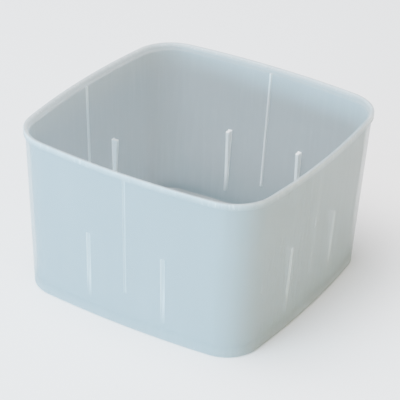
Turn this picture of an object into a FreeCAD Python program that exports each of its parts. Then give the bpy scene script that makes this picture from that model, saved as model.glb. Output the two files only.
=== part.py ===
import FreeCAD
import Part
import Sketcher
import os
from math import atan2, pi, sqrt

# A square cheese mould: one tub with bowed, tapering sides and rounded corners, a raised floor
# inside a foot ring, a proud lip, one long guide rib in the middle of each side and a pair of
# wedge-shaped stacking ribs beside it. The tub is a single moulding, so every region below
# meets its neighbours face to face and nothing overlaps.
# Frame: millimetres, +Z up, origin at the centre of the foot, sides square to X and Y.

# alias, value, what it is
SIZES = [
    ("foot_half_width", 70.2, "centre to the middle of a side, outside, at the foot"),
    ("top_half_width", 74.8, "the same, just under the lip"),
    ("foot_bow", 4.6, "how far a side swells over its half width, at the foot"),
    ("top_bow", 6.6, "the same, under the lip"),
    ("foot_corner_radius", 20.0, "outer plan radius of a corner, at the foot"),
    ("top_corner_radius", 22.8, "the same, under the lip"),
    ("wall_thickness", 1.9, "sides and corners"),
    ("corner_line", 50.0, "distance from the centre planes where a side becomes a corner"),
    ("floor_height", 3.0, "top of the raised floor, and foot of the sides"),
    ("floor_thickness", 1.8, "raised floor, its turned-down edge and the foot ring"),
    ("foot_ring_width", 7.0, "outer face of the tub to the step of the floor"),
    ("foot_edge_radius", 1.2, "outer edge that stands on the table"),
    ("channel_radius", 0.9, "inner corner between the foot ring and the side"),
    ("lip_underside", 88.5, "height of the lip's lower face"),
    ("overall_height", 92.0, "height of the lip's top"),
    ("lip_overhang", 1.0, "lip proud of the side, outside"),
    ("lip_bevel_width", 1.7, "bevel inside the lip, across"),
    ("lip_bevel_height", 1.3, "bevel inside the lip, up"),
    ("lip_edge_radius", 0.4, "outer edges of the lip"),
    ("guide_rib_width", 1.2, "long rib in the middle of a side"),
    ("guide_rib_depth", 0.8, "how far the long rib stands in"),
    ("guide_rib_foot", 19.5, "lower end of the long rib"),
    ("stack_rib_width", 1.9, "short wedge rib"),
    ("stack_rib_offset", 22.5, "middle of a side to the centre of a short rib"),
    ("stack_rib_foot", 9.0, "lower end of a short rib"),
    ("stack_rib_top", 47.8, "flat top of a short rib, where a nested tub rests"),
    ("stack_rib_foot_depth", 0.7, "reach in from the middle of the side at the lower end"),
    ("stack_rib_top_depth", 3.9, "the same at the flat top"),
    ("drain_diameter", 3.0, "hole in the floor"),
    ("drain_pitch", 15.0, "hole to hole, both ways"),
    ("drains_in_row", 7, "holes in a row, and rows"),
]
VALUE = {alias: value for alias, value, _ in SIZES}
TOLERANCE = 1e-3
FAR_OUT = "(2 * Sizes.top_half_width)"

SIDES = ["front", "right", "back", "left"]
CORNERS = ["front_right", "back_right", "back_left", "front_left"]

doc = FreeCAD.newDocument("cheese_mould")


def make_sheet():
    """The driving sizes, one row each, with the alias that the model's expressions use."""
    sheet = doc.addObject("Spreadsheet::Sheet", "Sizes")
    for row, (alias, value, meaning) in enumerate(SIZES, start=1):
        sheet.set(f"A{row}", alias)
        sheet.set(f"B{row}", str(value))
        sheet.set(f"C{row}", meaning)
        sheet.setAlias(f"B{row}", alias)
    doc.recompute()
    return sheet


# ---- the tub's outline ---------------------------------------------------------------------
# A closed ring of eight tangent arcs: four long side arcs and four corner arcs. An outline
# offset inwards or outwards keeps all eight centres and changes only the radii.

def side_radius_formula(level):
    half, bow = f"Sizes.{level}_half_width", f"Sizes.{level}_bow"
    return f"(({half} ^ 2 + {bow} ^ 2) / (2 * {bow}))"


def side_radius_value(level):
    half, bow = VALUE[f"{level}_half_width"], VALUE[f"{level}_bow"]
    return (half ** 2 + bow ** 2) / (2 * bow)


def corner_centre_value(level):
    """The equal x and y of a corner arc's centre, from tangency with the side arc."""
    radius = side_radius_value(level)
    set_back = radius - VALUE[f"{level}_half_width"]
    reach = radius - VALUE[f"{level}_corner_radius"]
    return (sqrt(2 * reach ** 2 - set_back ** 2) - set_back) / 2


def bind(sketch, constraint, name, formula):
    """Adds a dimension to the sketch and drives it from the sheet."""
    index = sketch.addConstraint(constraint)
    sketch.renameConstraint(index, name)
    sketch.setExpression(f"Constraints.{name}", formula)
    return index


def turned(x, y, quarter):
    """The point turned about the origin by a number of quarter turns."""
    for _ in range(quarter):
        x, y = -y, x
    return FreeCAD.Vector(x, y, 0)


def draw_outline(sketch, level, offset, offset_formula, tag):
    """Draws the outline at a level, moved outwards by the offset, as eight tangent arcs."""
    side_radius = side_radius_value(level)
    set_back = side_radius - VALUE[f"{level}_half_width"]
    corner_centre = corner_centre_value(level)
    corner_radius = VALUE[f"{level}_corner_radius"] + offset
    side_angle = atan2(corner_centre, corner_centre + set_back)
    up = FreeCAD.Vector(0, 0, 1)
    first = sketch.GeometryCount
    for quarter in range(4):
        turn = quarter * pi / 2
        side = Part.Circle(turned(-set_back, 0, quarter), up, side_radius + offset)
        sketch.addGeometry(Part.ArcOfCircle(side, turn - side_angle, turn + side_angle))
        corner = Part.Circle(turned(corner_centre, corner_centre, quarter), up, corner_radius)
        sketch.addGeometry(Part.ArcOfCircle(corner, turn + side_angle,
                                            turn + pi / 2 - side_angle))
    arcs = range(first, first + 8)
    start, end, centre = 1, 2, 3
    for place, arc in enumerate(arcs):
        sketch.addConstraint(Sketcher.Constraint("Tangent", arc, end,
                                                 arcs[(place + 1) % 8], start))
    for quarter, arc in enumerate(arcs[::2]):
        axis = -1 if quarter % 2 == 0 else -2
        sketch.addConstraint(Sketcher.Constraint("PointOnObject", arc, centre, axis))
        bind(sketch, Sketcher.Constraint("Distance", -1, 1, arc, centre, set_back),
             f"{tag}_set_back_{quarter}",
             f"{side_radius_formula(level)} - Sizes.{level}_half_width")
        if quarter:
            sketch.addConstraint(Sketcher.Constraint("Equal", arcs[0], arc))
            sketch.addConstraint(Sketcher.Constraint("Equal", arcs[1], arcs[2 * quarter + 1]))
    bind(sketch, Sketcher.Constraint("Radius", arcs[0], side_radius + offset),
         f"{tag}_side_radius", f"{side_radius_formula(level)} + {offset_formula}")
    bind(sketch, Sketcher.Constraint("Radius", arcs[1], corner_radius),
         f"{tag}_corner_radius", f"Sizes.{level}_corner_radius + {offset_formula}")


# ---- bodies and features -------------------------------------------------------------------

def make_body(name):
    body = doc.addObject("PartDesign::Body", name)
    body.Label = name
    return body


def origin_feature(body, role):
    return next(item for item in body.Origin.OriginFeatures if item.Role == role)


def make_sketch(body, name, height_formula="0"):
    """A sketch on the body's XY plane, lifted to a height."""
    sketch = body.newObject("Sketcher::SketchObject", f"{body.Name}_{name}")
    sketch.AttachmentSupport = [(origin_feature(body, "XY_Plane"), "")]
    sketch.MapMode = "FlatFace"
    sketch.setExpression("AttachmentOffset.Base.z", height_formula)
    return sketch


def pad(body, sketch, length_formula):
    feature = body.newObject("PartDesign::Pad", f"{sketch.Name}_pad")
    feature.Profile = sketch
    feature.setExpression("Length", length_formula)
    doc.recompute()
    return feature


def pocket(body, sketch, length_formula):
    """Cuts upwards from the sketch, and stops the build if nothing was cut."""
    before = body.Shape.Volume
    feature = body.newObject("PartDesign::Pocket", f"{sketch.Name}_pocket")
    feature.Profile = sketch
    feature.Reversed = True
    feature.setExpression("Length", length_formula)
    doc.recompute()
    if feature.Shape.Volume >= before:
        raise RuntimeError(f"{feature.Name} cuts nothing")
    return feature


def loft(body, kind, lower, upper):
    feature = body.newObject(f"PartDesign::{kind}", f"{body.Name}_{kind}")
    feature.Profile = lower
    feature.Sections = [upper]
    feature.Ruled = True
    doc.recompute()
    return feature


def ring_edges(feature, level, offset, height):
    """Names of the edges of one offset outline at one height, known by their arc radii."""
    radii = [side_radius_value(level) + offset, VALUE[f"{level}_corner_radius"] + offset]
    names = []
    for number, edge in enumerate(feature.Shape.Edges, start=1):
        box = edge.BoundBox
        lies_level = box.ZLength < TOLERANCE and abs(box.ZMin - height) < TOLERANCE
        if lies_level and isinstance(edge.Curve, Part.Circle):
            if min(abs(edge.Curve.Radius - radius) for radius in radii) < TOLERANCE:
                names.append(f"Edge{number}")
    return names


def round_edges(body, base, edges, radius_formula):
    feature = body.newObject("PartDesign::Fillet", f"{base.Name}_round")
    feature.Base = (base, edges)
    feature.setExpression("Radius", radius_formula)
    doc.recompute()
    return feature


# ---- sub-parts -----------------------------------------------------------------------------

def make_foot_ring():
    """The flat ring that the tub stands on, with the curb that carries the sides."""
    body = make_body("foot_ring")
    plate = make_sketch(body, "plate")
    draw_outline(plate, "foot", 0, "0", "outer")
    draw_outline(plate, "foot", -VALUE["foot_ring_width"], "-Sizes.foot_ring_width", "inner")
    pad(body, plate, "Sizes.floor_thickness")
    curb = make_sketch(body, "curb", "Sizes.floor_thickness")
    draw_outline(curb, "foot", 0, "0", "outer")
    draw_outline(curb, "foot", -VALUE["wall_thickness"], "-Sizes.wall_thickness", "inner")
    solid = pad(body, curb, "Sizes.floor_height - Sizes.floor_thickness")
    solid = round_edges(body, solid, ring_edges(solid, "foot", 0, 0), "Sizes.foot_edge_radius")
    corner = ring_edges(solid, "foot", -VALUE["wall_thickness"], VALUE["floor_thickness"])
    round_edges(body, solid, corner, "Sizes.channel_radius")
    return body


def make_floor_panel():
    """The raised floor, open underneath, with its turned-down edge and the drain holes."""
    body = make_body("floor_panel")
    plate = make_sketch(body, "plate")
    draw_outline(plate, "foot", -VALUE["foot_ring_width"], "-Sizes.foot_ring_width", "edge")
    pad(body, plate, "Sizes.floor_height")
    recess = make_sketch(body, "recess")
    inset = -VALUE["foot_ring_width"] - VALUE["floor_thickness"]
    draw_outline(recess, "foot", inset, "-Sizes.foot_ring_width - Sizes.floor_thickness", "edge")
    pocket(body, recess, "Sizes.floor_height - Sizes.floor_thickness")
    drill_drains(body)
    return body


def drill_drains(body):
    """A square grid of round holes: one row in a sketch, repeated along Y."""
    row = make_sketch(body, "drains")
    pitch, count = VALUE["drain_pitch"], VALUE["drains_in_row"]
    radius = VALUE["drain_diameter"] / 2
    middle = (count - 1) / 2
    for place in range(count):
        centre = FreeCAD.Vector((place - middle) * pitch, -middle * pitch, 0)
        row.addGeometry(Part.Circle(centre, FreeCAD.Vector(0, 0, 1), radius))
        if place:
            row.addConstraint(Sketcher.Constraint("Equal", 0, place))
        bind(row, Sketcher.Constraint("DistanceX", -1, 1, place, 3, centre.x),
             f"across_{place}", f"({place} - {middle}) * Sizes.drain_pitch")
        bind(row, Sketcher.Constraint("DistanceY", -1, 1, place, 3, centre.y),
             f"along_{place}", f"-{middle} * Sizes.drain_pitch")
    bind(row, Sketcher.Constraint("Radius", 0, radius), "hole_radius",
         "Sizes.drain_diameter / 2")
    first_row = pocket(body, row, "Sizes.floor_height")
    rows = body.newObject("PartDesign::LinearPattern", "drain_rows")
    rows.Originals = [first_row]
    rows.Direction = (origin_feature(body, "Y_Axis"), [""])
    rows.setExpression("Length", "(Sizes.drains_in_row - 1) * Sizes.drain_pitch")
    rows.setExpression("Occurrences", "Sizes.drains_in_row")
    body.Tip = rows
    doc.recompute()


def make_wall_band():
    """The whole ring of sides and corners, lofted from the floor to the lip.

    It is a blank: the sides and the corners are cut from it, and the ribs are cut to it.
    """
    body = make_body("wall_band")
    levels = [("foot", "Sizes.floor_height"), ("top", "Sizes.lip_underside")]
    for kind, offset, formula in [("AdditiveLoft", 0, "0"),
                                  ("SubtractiveLoft", -VALUE["wall_thickness"],
                                   "-Sizes.wall_thickness")]:
        sections = []
        for level, height in levels:
            section = make_sketch(body, f"{kind}_{level}", height)
            draw_outline(section, level, offset, formula, "edge")
            sections.append(section)
        loft(body, kind, *sections)
    return body


def make_cutting_box(name, quarter, low_x, high_x, near):
    """A tall box that covers the tub's front from low_x to high_x, beyond the distance near
    from the centre plane, turned by quarter turns to its own side."""
    box = doc.addObject("Part::Box", name)
    box.setExpression("Length", f"{high_x} - ({low_x})")
    box.setExpression("Width", f"{FAR_OUT} - {near}")
    box.setExpression("Height", "Sizes.overall_height")
    turn = FreeCAD.Rotation(FreeCAD.Vector(0, 0, 1), 90 * quarter)
    box.Placement = FreeCAD.Placement(FreeCAD.Vector(), turn)
    # The box's own corner is at low_x and far out in -Y before it is turned.
    base_x = [low_x, FAR_OUT, f"-({low_x})", f"-{FAR_OUT}"][quarter]
    base_y = [f"-{FAR_OUT}", low_x, FAR_OUT, f"-({low_x})"][quarter]
    box.setExpression("Placement.Base.x", base_x)
    box.setExpression("Placement.Base.y", base_y)
    return box


def make_wall_pieces(band):
    """Four sides and four corners, parted by upright planes at the corner line."""
    line = "Sizes.corner_line"
    pieces = []
    for quarter, side in enumerate(SIDES):
        box = make_cutting_box(f"{side}_wall_box", quarter, f"-{line}", line, "0")
        pieces.append(make_boolean("Part::Common", f"{side}_wall", band, box))
    for quarter, corner in enumerate(CORNERS):
        box = make_cutting_box(f"{corner}_corner_box", quarter, line, FAR_OUT, line)
        pieces.append(make_boolean("Part::Common", f"{corner}_corner", band, box))
    return pieces


def make_boolean(kind, name, base, tool):
    result = doc.addObject(kind, name)
    result.Label = name
    result.Base = base
    result.Tool = tool
    return result


def make_rim_lip():
    """The proud lip round the top, bevelled inside."""
    body = make_body("rim_lip")
    ring = make_sketch(body, "ring", "Sizes.lip_underside")
    draw_outline(ring, "top", VALUE["lip_overhang"], "Sizes.lip_overhang", "outer")
    draw_outline(ring, "top", -VALUE["wall_thickness"], "-Sizes.wall_thickness", "inner")
    solid = pad(body, ring, "Sizes.overall_height - Sizes.lip_underside")
    bevel = body.newObject("PartDesign::Chamfer", "rim_bevel")
    bevel.Base = (solid, ring_edges(solid, "top", -VALUE["wall_thickness"],
                                    VALUE["overall_height"]))
    bevel.ChamferType = "Two distances"
    bevel.setExpression("Size", "Sizes.lip_bevel_height")
    bevel.setExpression("Size2", "Sizes.lip_bevel_width")
    doc.recompute()
    overhang = VALUE["lip_overhang"]
    outer_edges = ring_edges(bevel, "top", overhang, VALUE["overall_height"])
    outer_edges += ring_edges(bevel, "top", overhang, VALUE["lip_underside"])
    round_edges(body, bevel, outer_edges, "Sizes.lip_edge_radius")
    return body


def inner_face_formula(height):
    """Distance from the centre plane to the inside of a side, at mid side and at a height."""
    rise = f"(({height}) - Sizes.floor_height) / (Sizes.lip_underside - Sizes.floor_height)"
    gain = f"(Sizes.top_half_width - Sizes.foot_half_width) * {rise}"
    return f"(Sizes.foot_half_width + {gain} - Sizes.wall_thickness)"


def make_rib(name, quarter, band, place, width, foot, top, foot_depth, top_depth):
    """A tapering rib: a wedge that reaches into the side, with the side cut away from it."""
    blank = doc.addObject("Part::Wedge", f"{name}_blank")
    # The wedge's own Y is up, its Z points outwards and its X runs along the side.
    buried = "Sizes.wall_thickness / 2"
    for prefix, height, depth in [("", foot, foot_depth), ("2", top, top_depth)]:
        face = inner_face_formula(height)
        blank.setExpression(f"X{prefix}min" if prefix else "Xmin", f"{place} - {width} / 2")
        blank.setExpression(f"X{prefix}max" if prefix else "Xmax", f"{place} + {width} / 2")
        blank.setExpression(f"Z{prefix}min" if prefix else "Zmin", f"{face} - {depth}")
        blank.setExpression(f"Z{prefix}max" if prefix else "Zmax", f"{face} + {buried}")
    blank.setExpression("Ymin", foot)
    blank.setExpression("Ymax", top)
    upright = FreeCAD.Rotation(FreeCAD.Vector(1, 0, 0), 90)
    turn = FreeCAD.Rotation(FreeCAD.Vector(0, 0, 1), 90 * quarter)
    blank.Placement = FreeCAD.Placement(FreeCAD.Vector(), turn.multiply(upright))
    return make_boolean("Part::Cut", name, blank, band)


def make_ribs(band):
    """On each side, a long guide rib in the middle and a stacking rib either side of it."""
    ribs = []
    for quarter, side in enumerate(SIDES):
        ribs.append(make_rib(f"{side}_guide_rib", quarter, band, "0", "Sizes.guide_rib_width",
                             "Sizes.guide_rib_foot", "Sizes.lip_underside",
                             "Sizes.guide_rib_depth", "Sizes.guide_rib_depth"))
        for hand, sign in [("left", "-"), ("right", "")]:
            ribs.append(make_rib(f"{side}_{hand}_stacking_rib", quarter, band,
                                 f"{sign}Sizes.stack_rib_offset", "Sizes.stack_rib_width",
                                 "Sizes.stack_rib_foot", "Sizes.stack_rib_top",
                                 "Sizes.stack_rib_foot_depth", "Sizes.stack_rib_top_depth"))
    return ribs


def check_and_export(pieces):
    """Stops on any failed object or bad solid, then writes one STEP file for each piece."""
    doc.recompute()
    for item in doc.Objects:
        if "Invalid" in item.State or "Error" in item.State:
            raise RuntimeError(f"{item.Label}: {item.State}")
    os.makedirs("parts", exist_ok=True)
    for piece in pieces:
        shape = piece.Shape
        if shape.isNull() or not shape.isValid() or len(shape.Solids) != 1:
            raise RuntimeError(f"{piece.Label}: not one valid solid")
        shape.exportStep(os.path.join("parts", f"{piece.Label}.step"))
        print(f"{piece.Label}: {shape.Volume:.1f} cubic mm")


make_sheet()
wall_band = make_wall_band()
all_pieces = [make_foot_ring(), make_floor_panel()]
all_pieces += make_wall_pieces(wall_band)
all_pieces += [make_rim_lip()]
all_pieces += make_ribs(wall_band)
check_and_export(all_pieces)
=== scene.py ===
"""A square cheese mould in milky polypropylene, on a pale floor under soft light.

The CAD model gives the sizes and places. The real mould is a single moulding, so one continuous
mesh stands for all its CAD regions, with no seams where they meet. Metres throughout, +Z up.
"""
from math import atan2, cos, pi, radians, sin, sqrt, tan

import bmesh
import bpy
from mathutils import Matrix, Vector


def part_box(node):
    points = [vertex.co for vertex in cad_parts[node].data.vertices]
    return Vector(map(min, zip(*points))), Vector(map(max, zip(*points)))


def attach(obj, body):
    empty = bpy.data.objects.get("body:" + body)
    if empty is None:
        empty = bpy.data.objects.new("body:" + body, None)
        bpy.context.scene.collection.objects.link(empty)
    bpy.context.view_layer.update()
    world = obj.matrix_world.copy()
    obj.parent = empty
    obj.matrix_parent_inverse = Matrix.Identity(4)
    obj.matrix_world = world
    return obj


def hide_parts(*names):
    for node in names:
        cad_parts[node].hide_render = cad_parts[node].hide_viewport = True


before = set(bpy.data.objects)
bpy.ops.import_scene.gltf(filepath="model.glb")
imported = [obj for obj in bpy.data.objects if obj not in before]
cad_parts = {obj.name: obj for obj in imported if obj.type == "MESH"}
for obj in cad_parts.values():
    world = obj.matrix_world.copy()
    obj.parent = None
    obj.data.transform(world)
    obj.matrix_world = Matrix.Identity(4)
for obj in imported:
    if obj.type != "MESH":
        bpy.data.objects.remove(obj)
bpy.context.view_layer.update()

MM = 0.001

# ---- sizes read from the CAD frame ---------------------------------------------------------------
WALL_LOW, WALL_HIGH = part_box("front_wall")
FOOT_LOW, FOOT_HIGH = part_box("foot_ring")
LIP_LOW, LIP_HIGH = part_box("rim_lip")
PANEL_LOW, PANEL_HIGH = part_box("floor_panel")
GUIDE_LOW, GUIDE_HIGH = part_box("front_guide_rib")
STACK_LOW, STACK_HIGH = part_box("front_right_stacking_rib")

FLOOR_TOP = PANEL_HIGH[2]
WALL_TOP = WALL_HIGH[2]
RIM_TOP = LIP_HIGH[2]
FOOT_HALF = FOOT_HIGH[0]
TOP_HALF = -WALL_LOW[1]
LIP_OVERHANG = LIP_HIGH[0] - TOP_HALF
FOOT_RING_WIDTH = FOOT_HALF - PANEL_HIGH[0]

# ---- sizes of the same shape that a box doesn't give ---------------------------------------------
FOOT_BOW, TOP_BOW = 4.6 * MM, 6.6 * MM
FOOT_CORNER, TOP_CORNER = 20.0 * MM, 22.8 * MM
WALL = 1.9 * MM
FLOOR_THICK = 1.8 * MM
BEVEL_WIDTH, BEVEL_HEIGHT = 1.7 * MM, 1.3 * MM
STACK_DEPTH_FOOT, STACK_DEPTH_TOP = 0.15 * MM, 3.4 * MM
GUIDE_DEPTH = 0.8 * MM
DRAIN_RADIUS, DRAIN_PITCH, DRAINS_IN_ROW = 1.5 * MM, 15.0 * MM, 7
DRAIN_SOFTENING = 0.2 * MM

# ---- fineness of the mesh ------------------------------------------------------------------------
SMALLEST_STEP = 0.015 * MM
WALL_ROWS = 28
STRAIGHT_PART, STRAIGHT_STEPS = 45.0 * MM, 12
CORNER_STEPS, FILLET_STEPS, DRAIN_STEPS = 16, 5, 20
SHARP_ANGLE = radians(28)

# ---- how much of the light each face stops: the haze is nearly all in the inside face ------------
OUTSIDE_OPACITY, INSIDE_OPACITY, THICK_OPACITY = 0.50, 0.85, 0.96
LIP_OPACITY, FOOT_OPACITY = 0.65, 0.70
# ribs are painted fully white from this depth: thicker plastic is whiter, and the white also paints
# the glow of light carried along the ribs
FULLY_WHITE_DEPTH = 1.3 * MM
# how much whiter the lip's flat top is painted: a painted highlight of the light from above
LAND_PAINTED_HIGHLIGHT = 0.32


# ---- the tub's outline in plan -------------------------------------------------------------------
class Outline:
    """Four side arcs and four corner arcs, tangent to each other, at one height."""

    def __init__(self, height):
        share = (height - FLOOR_TOP) / (WALL_TOP - FLOOR_TOP)
        share = min(max(share, 0.0), 1.0)
        self.half = FOOT_HALF + (TOP_HALF - FOOT_HALF) * share
        bow = FOOT_BOW + (TOP_BOW - FOOT_BOW) * share
        self.corner = FOOT_CORNER + (TOP_CORNER - FOOT_CORNER) * share
        self.radius = (self.half ** 2 + bow ** 2) / (2 * bow)
        self.set_back = self.radius - self.half
        reach = self.radius - self.corner
        self.centre = (sqrt(2 * reach ** 2 - self.set_back ** 2) - self.set_back) / 2
        self.turn = atan2(self.centre, self.centre + self.set_back)

    def side(self, x, offset):
        """Point on the front side, moved outwards by the offset."""
        return x, self.set_back - sqrt((self.radius + offset) ** 2 - x ** 2)

    def side_end(self, offset):
        """x where the side arc meets the corner arc."""
        return (self.radius + offset) * sin(self.turn)

    def corner_point(self, share, offset):
        """Point on the front right corner, from 0 at the front side to 1 at the right one."""
        angle = self.turn + (pi / 2 - 2 * self.turn) * share
        reach = self.corner + offset
        return self.centre + reach * sin(angle), -self.centre - reach * cos(angle)


def turned(x, y, quarter):
    """The point turned about the middle of the tub by quarter turns."""
    for _ in range(quarter):
        x, y = -y, x
    return x, y


# ---- ribs on the inside of a side ----------------------------------------------------------------
class Rib:
    """A rib with rounded edges, as a height above the inside face."""

    def __init__(self, place, width, low, high, depth_low, depth_high, edge, fillet):
        self.place, self.half = place, width / 2
        self.low, self.high = low, high
        self.depth_low, self.depth_high = depth_low, depth_high
        self.edge, self.fillet = edge, fillet

    def height_at(self, z):
        """Depth along the middle of the rib."""
        if z < self.low - self.fillet or z > self.high + self.fillet:
            return 0.0
        share = min(max((z - self.low) / (self.high - self.low), 0.0), 1.0)
        depth = self.depth_low + (self.depth_high - self.depth_low) * share
        beyond = max(self.low - z, z - self.high)
        return self.round_off(depth, beyond)

    def round_off(self, depth, beyond):
        """Rounds the depth near an edge; beyond is how far outside the edge the point lies."""
        if beyond <= -self.edge:
            return depth
        if beyond <= 0:
            lost = self.edge - sqrt(self.edge ** 2 - (beyond + self.edge) ** 2)
            return max(depth - lost, 0.0)
        run = self.fillet - min(beyond, self.fillet)
        skirt = self.fillet - sqrt(self.fillet ** 2 - run ** 2)
        return min(skirt, max(depth - self.edge, 0.0))

    def depth_at(self, x, z):
        """Depth at any point of the side."""
        return self.round_off(self.height_at(z), abs(x - self.place) - self.half)

    def steps(self):
        """Distances beyond an edge where its rounding and its fillet need points."""
        rounding = [-share * self.edge for share in (1, 0.5, 0.15)]
        fillet = [share * self.fillet for share in (0.3, 0.6, 1)]
        return rounding + [0.0, 0.02 * MM] + fillet

    def columns(self):
        """x positions that the rib's section needs."""
        right = [self.half + step for step in self.steps()]
        return [self.place + sign * x for sign in (-1, 1) for x in right] + [self.place]

    def rows(self):
        """Heights that the rib's two ends need."""
        near_top = [self.high - below for below in (0.7 * MM, 1.4 * MM, 2.2 * MM)]
        ends = [self.low - step for step in self.steps()] + [self.high + step for step in self.steps()]
        return ends + near_top


STACK_PLACE = (STACK_LOW[0] + STACK_HIGH[0]) / 2
STACK_WIDTH = STACK_HIGH[0] - STACK_LOW[0]
GUIDE_WIDTH = GUIDE_HIGH[0] - GUIDE_LOW[0]
GUIDE_RIB = Rib(0.0, GUIDE_WIDTH, GUIDE_LOW[2], GUIDE_HIGH[2], GUIDE_DEPTH, GUIDE_DEPTH,
                edge=0.3 * MM, fillet=0.3 * MM)
STACKING_RIBS = [Rib(place, STACK_WIDTH, STACK_LOW[2], STACK_HIGH[2], STACK_DEPTH_FOOT,
                     STACK_DEPTH_TOP, edge=0.35 * MM, fillet=0.4 * MM)
                 for place in (-STACK_PLACE, STACK_PLACE)]
RIBS = [GUIDE_RIB, *STACKING_RIBS]


def rib_depth(x, z):
    """How far the inside face stands in from the plain wall, at a point of a side."""
    return max(rib.depth_at(x, z) for rib in RIBS)


def rib_share(x, z):
    """1 on a rib and the fillet round it, where it is deep, and less where it runs out."""
    share = 0.0
    for rib in RIBS:
        beyond = max(abs(x - rib.place) - rib.half, z - rib.high, rib.low - z)
        if beyond < 0.9 * rib.fillet:
            deepest = rib.height_at(min(z, rib.high))
            share = max(share, min(deepest / FULLY_WHITE_DEPTH, 1.0))
    return share


def white_and_painted_light(point, rib):
    """0 on a plain wall, up to 1 on a rib, where the plastic is thick and scatters more light, and
    where the white also paints the glow of light carried along the rib; the lip's flat top gets a
    painted highlight.
    """
    # the lip's flat top is painted whiter: a painted highlight of the light from above
    on_land = point.y > RIM_TOP - 0.45 * MM
    return max(rib, LAND_PAINTED_HIGHLIGHT) if on_land else rib


def opacity(point, rib, outside):
    """How much of the light is stopped. The ribs show through the wall's clearer outside face."""
    if outside:
        # all the foot's haze up to this height, and none from twice as high
        foot_height = 3.5 * MM
        foot = min(max(2 - point.y / foot_height, 0.0), 1.0)
        return OUTSIDE_OPACITY + (FOOT_OPACITY - OUTSIDE_OPACITY) * foot
    if point.y > WALL_TOP - 0.1 * MM:
        return LIP_OPACITY
    return INSIDE_OPACITY + (THICK_OPACITY - INSIDE_OPACITY) * rib


def edge_share(point):
    """1 on the lip's and the foot's rounded outer edges, where handling leaves its marks."""
    offset, z = point
    on_lip = z > WALL_TOP + 0.1 * MM and offset > -WALL + 0.2 * MM
    on_foot = z < 1.0 * MM and offset > -1.2 * MM
    return float(on_lip or on_foot)


# ---- the section of the moulding, as (offset, height) --------------------------------------------
def rounded(points, steps=FILLET_STEPS):
    """The open path with each corner (offset, height, radius) replaced by an arc."""
    path = [Vector(points[0][:2])]
    for before, corner, after in zip(points, points[1:], points[2:]):
        here = Vector(corner[:2])
        back = (Vector(before[:2]) - here).normalized()
        on = (Vector(after[:2]) - here).normalized()
        if not corner[2]:
            path.append(here)
            continue
        half_angle = back.angle(on) / 2
        trim = corner[2] / tan(half_angle)
        centre = here + (back + on).normalized() * (corner[2] / sin(half_angle))
        start, stop = here + back * trim - centre, here + on * trim - centre
        sweep = start.angle_signed(stop)
        for step in range(steps + 1):
            path.append(centre + Matrix.Rotation(-sweep * step / steps, 2) @ start)
    path.append(Vector(points[-1][:2]))
    return path


def with_rows(path, heights):
    """Adds points at the given heights on the path's upright runs."""
    result = [path[0]]
    for low, high in zip(path, path[1:]):
        rise = high.y - low.y
        if abs(rise) > 4 * MM:
            start = min(low.y, high.y) + SMALLEST_STEP
            stop = max(low.y, high.y) - SMALLEST_STEP
            inside = [z for z in heights if start < z < stop]
            for z in sorted(inside, reverse=rise < 0):
                result.append(low.lerp(high, (z - low.y) / rise))
        result.append(high)
    return result


def section_path():
    """From under the floor, out and up the outside, over the lip and down to the floor."""
    under_floor = FLOOR_TOP - FLOOR_THICK
    step = -FOOT_RING_WIDTH
    inner_step = step - FLOOR_THICK
    path = rounded([
        (inner_step - 1.0 * MM, under_floor, 0),
        (inner_step, under_floor, 0.4 * MM),
        (inner_step, 0.0, 0.3 * MM),
        (0.0, 0.0, 1.2 * MM),
        (0.0, WALL_TOP, 0.3 * MM),
        (LIP_OVERHANG, WALL_TOP, 0.4 * MM),
        (LIP_OVERHANG, RIM_TOP, 0.4 * MM),
        (-WALL + BEVEL_WIDTH, RIM_TOP, 0.6 * MM),
        (-WALL, RIM_TOP - BEVEL_HEIGHT, 1.0 * MM),
        (-WALL, FLOOR_THICK, 0.9 * MM),
        (step, FLOOR_THICK, 0.5 * MM),
        (step, FLOOR_TOP, 0.4 * MM),
        (step - 1.0 * MM, FLOOR_TOP, 0),
    ])
    even = [FLOOR_TOP + (WALL_TOP - FLOOR_TOP) * n / WALL_ROWS for n in range(WALL_ROWS + 1)]
    special = [z for rib in RIBS for z in rib.rows()]
    return with_rows(path, merged(even + special, SMALLEST_STEP))


def merged(values, gap):
    """The sorted values, with those closer than the gap dropped."""
    kept = []
    for value in sorted(values):
        if not kept or value - kept[-1] > gap:
            kept.append(value)
    return kept


# ---- the moulding's mesh -------------------------------------------------------------------------
def side_columns():
    """x positions of the points along a side, between its two ends."""
    even = [STRAIGHT_PART * n / STRAIGHT_STEPS for n in range(-STRAIGHT_STEPS, STRAIGHT_STEPS + 1)]
    return merged(even + [x for rib in RIBS for x in rib.columns()], SMALLEST_STEP)


def ring_points(offset, height, columns, inside):
    """The ring of points round the tub for one point of the section: x, y, z and rib share."""
    outline = Outline(height)
    end = outline.side_end(offset)
    edge = columns[-1]
    side_x = [-end, -(end * 2 + edge) / 3, -(end + edge * 2) / 3] + columns
    side_x += [(end + edge * 2) / 3, (end * 2 + edge) / 3, end]
    ring = []
    for quarter in range(4):
        for x in side_x:
            px, py = outline.side(x, offset)
            depth = rib_depth(x, height) if inside else 0.0
            rib = rib_share(x, height) if inside else 0.0
            ring.append((*turned(px, py + depth, quarter), height, rib))
        for step in range(1, CORNER_STEPS):
            px, py = outline.corner_point(step / CORNER_STEPS, offset)
            ring.append((*turned(px, py, quarter), height, 0.0))
    return ring


def circle(bm, x, y, z, radius, count):
    """A closed ring of new points."""
    angles = [2 * pi * n / count for n in range(count)]
    return [bm.verts.new((x + radius * cos(angle), y + radius * sin(angle), z)) for angle in angles]


def bridge(bm, lower, upper):
    """Quads between two closed rings of equal count."""
    count = len(lower)
    for n in range(count):
        after = (n + 1) % count
        bm.faces.new((lower[n], lower[after], upper[after], upper[n]))


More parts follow.
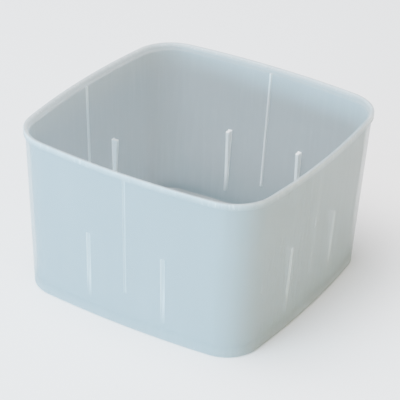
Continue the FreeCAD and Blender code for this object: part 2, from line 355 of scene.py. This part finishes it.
def loop_edges(bm, ring):
    """The edges round a closed ring."""
    edges = []
    for n, vert in enumerate(ring):
        pair = (vert, ring[(n + 1) % len(ring)])
        edges.append(bm.edges.get(pair) or bm.edges.new(pair))
    return edges


def add_object(name, bm, material):
    """Turns the bmesh into an object of the scene."""
    mesh = bpy.data.meshes.new(name)
    bm.to_mesh(mesh)
    bm.free()
    mesh.materials.append(material)
    thing = bpy.data.objects.new(name, mesh)
    bpy.context.scene.collection.objects.link(thing)
    return thing


def add_skin(bm, layers):
    """All the surface but the flat of the floor; returns its first and last rings."""
    columns = side_columns()
    rings = []
    for point in section_path():
        inside = point.x < -0.9 * WALL and FLOOR_TOP < point.y < RIM_TOP
        outside = point.x > -0.01 * MM and point.y < WALL_TOP
        ring = []
        for x, y, z, rib in ring_points(*point, columns, inside):
            vert = bm.verts.new((x, y, z))
            vert[layers["white"]] = white_and_painted_light(point, rib)
            vert[layers["opaque"]] = opacity(point, rib, outside)
            vert[layers["edge"]] = edge_share(point)
            ring.append(vert)
        rings.append(ring)
    for lower, upper in zip(rings, rings[1:]):
        bridge(bm, lower, upper)
    return rings[0], rings[-1]


def add_drain(bm, x, y, opaque_layer):
    """A drain hole: a short tube with a softened upper edge; returns its lowest and top rings."""
    tube = [circle(bm, x, y, FLOOR_TOP - FLOOR_THICK, DRAIN_RADIUS, DRAIN_STEPS),
            circle(bm, x, y, FLOOR_TOP - DRAIN_SOFTENING, DRAIN_RADIUS, DRAIN_STEPS),
            circle(bm, x, y, FLOOR_TOP, DRAIN_RADIUS + DRAIN_SOFTENING, DRAIN_STEPS)]
    for lower, upper in zip(tube, tube[1:]):
        bridge(bm, lower, upper)
    for ring in tube:
        for vert in ring:
            vert[opaque_layer] = INSIDE_OPACITY
    return tube[0], tube[-1]


def build_moulding():
    """The whole tub as one closed mesh, with the values that its material reads at each point."""
    bm = bmesh.new()
    layers = {name: bm.verts.layers.float.new(name) for name in ("white", "opaque", "edge")}
    under_ring, top_ring = add_skin(bm, layers)
    under_edges, top_edges = loop_edges(bm, under_ring), loop_edges(bm, top_ring)
    grid = [(n - (DRAINS_IN_ROW - 1) / 2) * DRAIN_PITCH for n in range(DRAINS_IN_ROW)]
    for y in grid:
        for x in grid:
            low_ring, high_ring = add_drain(bm, x, y, layers["opaque"])
            under_edges += loop_edges(bm, low_ring)
            top_edges += loop_edges(bm, high_ring)
    for edges in (under_edges, top_edges):
        bmesh.ops.triangle_fill(bm, use_beauty=True, edges=edges)
    bmesh.ops.recalc_face_normals(bm, faces=bm.faces)
    for face in bm.faces:
        face.smooth = True
    for edge in bm.edges:
        edge.smooth = edge.calc_face_angle() <= SHARP_ANGLE
    return add_object("moulded_tub", bm, polypropylene())


# ---- materials -----------------------------------------------------------------------------------
def value_map(tree, source, low, high, start=0.0, stop=1.0):
    """Maps the source from start..stop to low..high."""
    node = tree.nodes.new("ShaderNodeMapRange")
    node.inputs["From Min"].default_value, node.inputs["From Max"].default_value = start, stop
    node.inputs["To Min"].default_value, node.inputs["To Max"].default_value = low, high
    tree.links.new(source, node.inputs["Value"])
    return node.outputs["Result"]


def noise(tree, place, scale, detail, stretch=(1, 1, 1)):
    """Noise on the object's own coordinates, in metres times the stretch."""
    mapping = tree.nodes.new("ShaderNodeMapping")
    mapping.inputs["Scale"].default_value = stretch
    node = tree.nodes.new("ShaderNodeTexNoise")
    node.inputs["Scale"].default_value = scale
    node.inputs["Detail"].default_value = detail
    tree.links.new(place, mapping.inputs["Vector"])
    tree.links.new(mapping.outputs["Vector"], node.inputs["Vector"])
    return node.outputs["Fac"]


def combine(tree, operation, first, second):
    """Adds or multiplies two values, each a socket or a number."""
    node = tree.nodes.new("ShaderNodeMath")
    node.operation = operation
    for socket, value in zip(node.inputs, (first, second)):
        if isinstance(value, float):
            socket.default_value = value
        else:
            tree.links.new(value, socket)
    return node.outputs[0]


def attribute(tree, name):
    """A value that the mesh carries at each point."""
    node = tree.nodes.new("ShaderNodeAttribute")
    node.attribute_name = name
    return node.outputs["Fac"]


def polypropylene():
    """Milky natural polypropylene: a little light passes straight, the rest scatters."""
    material = bpy.data.materials.new("natural_polypropylene")
    material.use_nodes = True
    tree = material.node_tree
    tree.nodes.clear()
    add, link = tree.nodes.new, tree.links.new
    place = add("ShaderNodeTexCoord").outputs["Object"]
    white, opaque, edge = (attribute(tree, name) for name in ("white", "opaque", "edge"))

    # clouds of about 25 mm, upright flow streaks 2 mm wide, scuffs of 1 mm and a finer grain
    cloud = noise(tree, place, scale=38, detail=3)
    streak = noise(tree, place, scale=1, detail=3, stretch=(420, 420, 16))
    scuff = noise(tree, place, scale=1, detail=2, stretch=(900, 900, 130))
    grain = noise(tree, place, scale=1400, detail=2)

    # milk runs from -0.06 to 0.06, with more where the edges are scuffed
    scuffed = combine(tree, "MULTIPLY", value_map(tree, scuff, 0.0, 1.0, 0.60, 0.72),
                      value_map(tree, edge, 0.10, 0.8))
    milk = combine(tree, "ADD", value_map(tree, cloud, -0.03, 0.03, 0.3, 0.7),
                   value_map(tree, streak, -0.03, 0.03, 0.35, 0.65))
    milk = combine(tree, "ADD", milk, combine(tree, "MULTIPLY", scuffed, 0.25))
    # the white attribute lifts the colour towards the ramp's white end: thicker plastic on the ribs
    # with a painted glow along them, and a painted highlight on the lip's flat top
    whiter = combine(tree, "ADD", milk, white)
    tint = add("ShaderNodeValToRGB")
    tint.color_ramp.elements[0].color = (0.225, 0.272, 0.285, 1)
    tint.color_ramp.elements[1].color = (0.90, 0.96, 0.97, 1)
    tint.color_ramp.elements.new(0.07).color = (0.24, 0.29, 0.304, 1)
    link(whiter, tint.inputs["Fac"])

    bump = add("ShaderNodeBump")
    bump.inputs["Strength"].default_value = 0.12
    bump.inputs["Distance"].default_value = 0.04 * MM
    link(combine(tree, "ADD", combine(tree, "MULTIPLY", grain, 0.5), streak), bump.inputs["Height"])

    surface = add("ShaderNodeBsdfPrincipled")
    surface.inputs["IOR"].default_value = 1.49
    link(tint.outputs["Color"], surface.inputs["Base Color"])
    rough = combine(tree, "ADD", value_map(tree, cloud, 0.30, 0.38, 0.3, 0.7),
                    combine(tree, "MULTIPLY", scuffed, 0.2))
    link(rough, surface.inputs["Roughness"])
    link(bump.outputs["Normal"], surface.inputs["Normal"])
    through = add("ShaderNodeBsdfTranslucent")
    link(tint.outputs["Color"], through.inputs["Color"])
    share_through = 0.2
    body = add("ShaderNodeMixShader")
    body.inputs["Fac"].default_value = share_through
    link(surface.outputs[0], body.inputs[1])
    link(through.outputs[0], body.inputs[2])

    clear = add("ShaderNodeBsdfTransparent")
    clear.inputs["Color"].default_value = (0.97, 0.985, 0.99, 1)
    whole = add("ShaderNodeMixShader")
    cloudy = combine(tree, "MULTIPLY", milk, 0.25)
    link(combine(tree, "ADD", cloudy, opaque), whole.inputs["Fac"])
    link(clear.outputs[0], whole.inputs[1])
    link(body.outputs[0], whole.inputs[2])
    link(whole.outputs[0], add("ShaderNodeOutputMaterial").inputs["Surface"])
    return material


def stage_material(name, colour, roughness, glow=0.0):
    """A plain surface for what stands round the object, which may shine a little."""
    material = bpy.data.materials.new(name)
    material.use_nodes = True
    surface = material.node_tree.nodes["Principled BSDF"]
    surface.inputs["Base Color"].default_value = colour
    surface.inputs["Roughness"].default_value = roughness
    surface.inputs["Emission Color"].default_value = (0.97, 0.98, 1.0, 1)
    surface.inputs["Emission Strength"].default_value = glow
    return material


# ---- the scene -----------------------------------------------------------------------------------
def make_floor():
    """A plain pale floor, 6 m square."""
    bm = bmesh.new()
    bmesh.ops.create_grid(bm, x_segments=8, y_segments=8, size=3.0)
    add_object("floor", bm, stage_material("pale_floor", (0.9, 0.9, 0.9, 1), 0.7))


def make_backdrop():
    """A low pale band round the floor's edge, which level views see behind the tub."""
    radius, height, count = 2.9, 0.45, 96
    bm = bmesh.new()
    bridge(bm, circle(bm, 0, 0, 0, radius, count), circle(bm, 0, 0, height, radius, count))
    material = stage_material("pale_backdrop", (0.8, 0.8, 0.8, 1), 0.5, glow=1.2)
    add_object("backdrop", bm, material)


def area_light(name, place, aim, size, power, colour):
    """A soft rectangular light that faces the aim."""
    light = bpy.data.lights.new(name, "AREA")
    light.shape = "RECTANGLE"
    light.size, light.size_y = size
    light.energy = power
    light.color = colour
    lamp = bpy.data.objects.new(name, light)
    lamp.location = place
    lamp.rotation_euler = (Vector(aim) - Vector(place)).to_track_quat("-Z", "Y").to_euler()
    bpy.context.scene.collection.objects.link(lamp)


def make_lights():
    """A soft light above, and low ones that tint two sides: cool at the front, warm at the right."""
    world = bpy.data.worlds.new("studio")
    world.use_nodes = True
    sky = world.node_tree.nodes["Background"]
    sky.inputs["Color"].default_value = (0.88, 0.94, 1.0, 1)
    sky.inputs["Strength"].default_value = 0.6
    bpy.context.scene.world = world
    area_light("top", (-0.45, -0.5, 2.0), (0, 0, 0), (1.6, 1.6), 165, (1.0, 0.965, 0.985))
    area_light("key", (-0.55, -1.45, 0.15), (0, 0, 0.05), (1.3, 0.26), 200, (0.32, 0.74, 1.0))
    area_light("side", (1.5, -0.2, 0.15), (0, 0, 0.05), (1.3, 0.26), 26, (1.0, 0.78, 0.27))


def make_camera():
    """The camera as the photograph's, from the turn, height and distance of its view."""
    azimuth, elevation, roll = radians(30.65), radians(29.58), radians(2.48)
    distance, focal_px, image_px = 0.987, 1855.3, 400
    moved_right, moved_down = 0.0009, 0.0032
    aim = Vector((0, 0, RIM_TOP / 2))
    back = Vector((sin(azimuth) * cos(elevation), -cos(azimuth) * cos(elevation),
                   sin(elevation)))
    level_right = Vector((cos(azimuth), sin(azimuth), 0))
    level_up = back.cross(level_right)
    right = level_right * cos(roll) + level_up * sin(roll)
    up = level_up * cos(roll) - level_right * sin(roll)
    data = bpy.data.cameras.new("camera")
    data.sensor_width = 36
    data.lens = focal_px / image_px * data.sensor_width
    camera = bpy.data.objects.new("camera", data)
    turn = Matrix((right, up, back)).transposed().to_4x4()
    place = aim + back * distance + right * moved_right - up * moved_down
    camera.matrix_world = Matrix.Translation(place) @ turn
    bpy.context.scene.collection.objects.link(camera)
    bpy.context.scene.camera = camera


tub = build_moulding()
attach(tub, "root")
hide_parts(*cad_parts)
make_floor()
make_backdrop()
make_lights()
make_camera()
